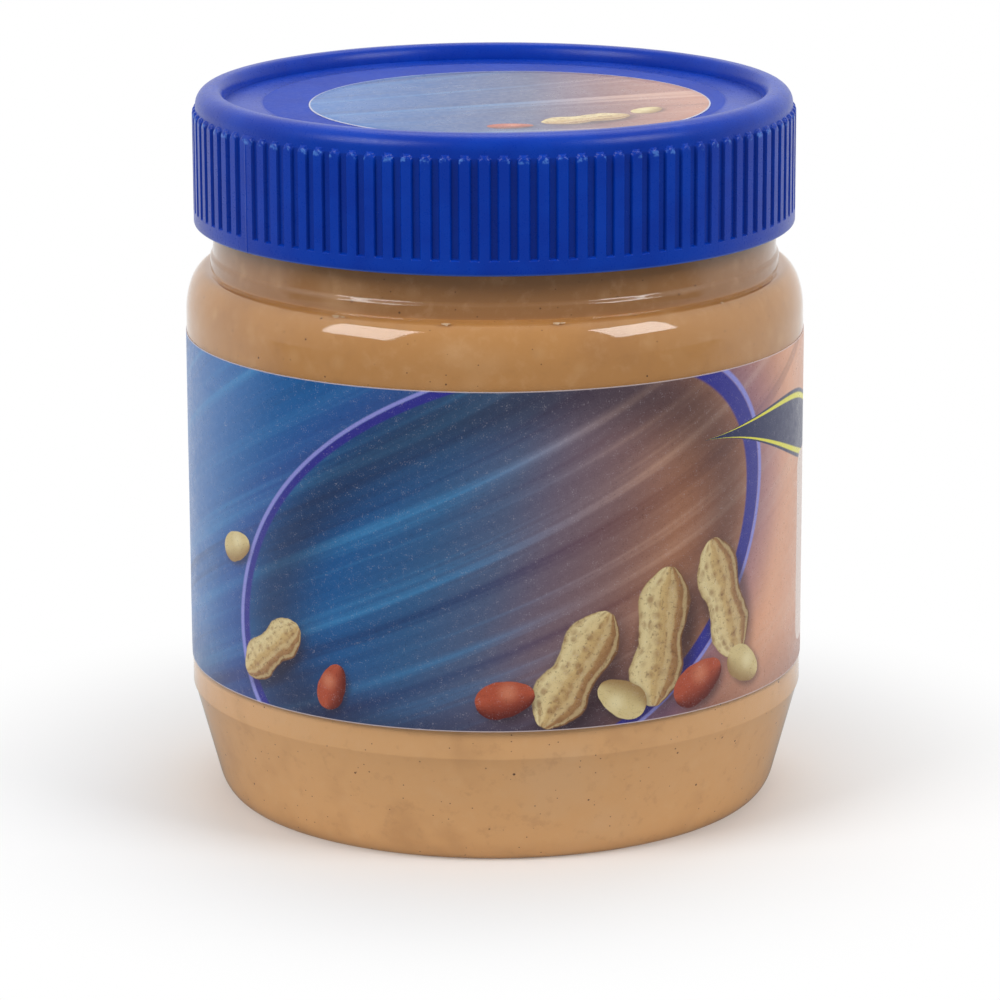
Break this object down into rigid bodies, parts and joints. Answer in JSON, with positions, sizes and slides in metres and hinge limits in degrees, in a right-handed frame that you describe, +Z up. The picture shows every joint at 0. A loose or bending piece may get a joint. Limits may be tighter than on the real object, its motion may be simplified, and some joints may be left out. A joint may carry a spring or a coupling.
{
  "type": "peanut butter jar",
  "caption": "Round clear screw-top jar of crunchy peanut butter with a ribbed blue lid, a wrap-round printed label and a round lid sticker.",
  "frame": {"origin": "centre of the ring that the jar stands on, in the plane of the ground", "axes": "+Z up along the jar's axis, towards the lid; -Y to the front, where the middle of the label's picture is; the label's ends meet at +Y"},
  "size_m": [0.0762, 0.0762, 0.0882],
  "materials": {
    "clear_plastic": "clear, glossy, blow moulded",
    "peanut_butter": "thick, oily, tan paste with fine dark specks",
    "lid_plastic": "royal blue, satin, ribbed",
    "label_film": "printed film, satin",
    "sticker_film": "printed film, glossy"
  },
  "bodies": {
    "root": {"jar": "clear_plastic", "peanut_butter": "peanut_butter", "lid": "lid_plastic", "label": "label_film", "lid_label": "sticker_film"}
  },
  "joints": []
}
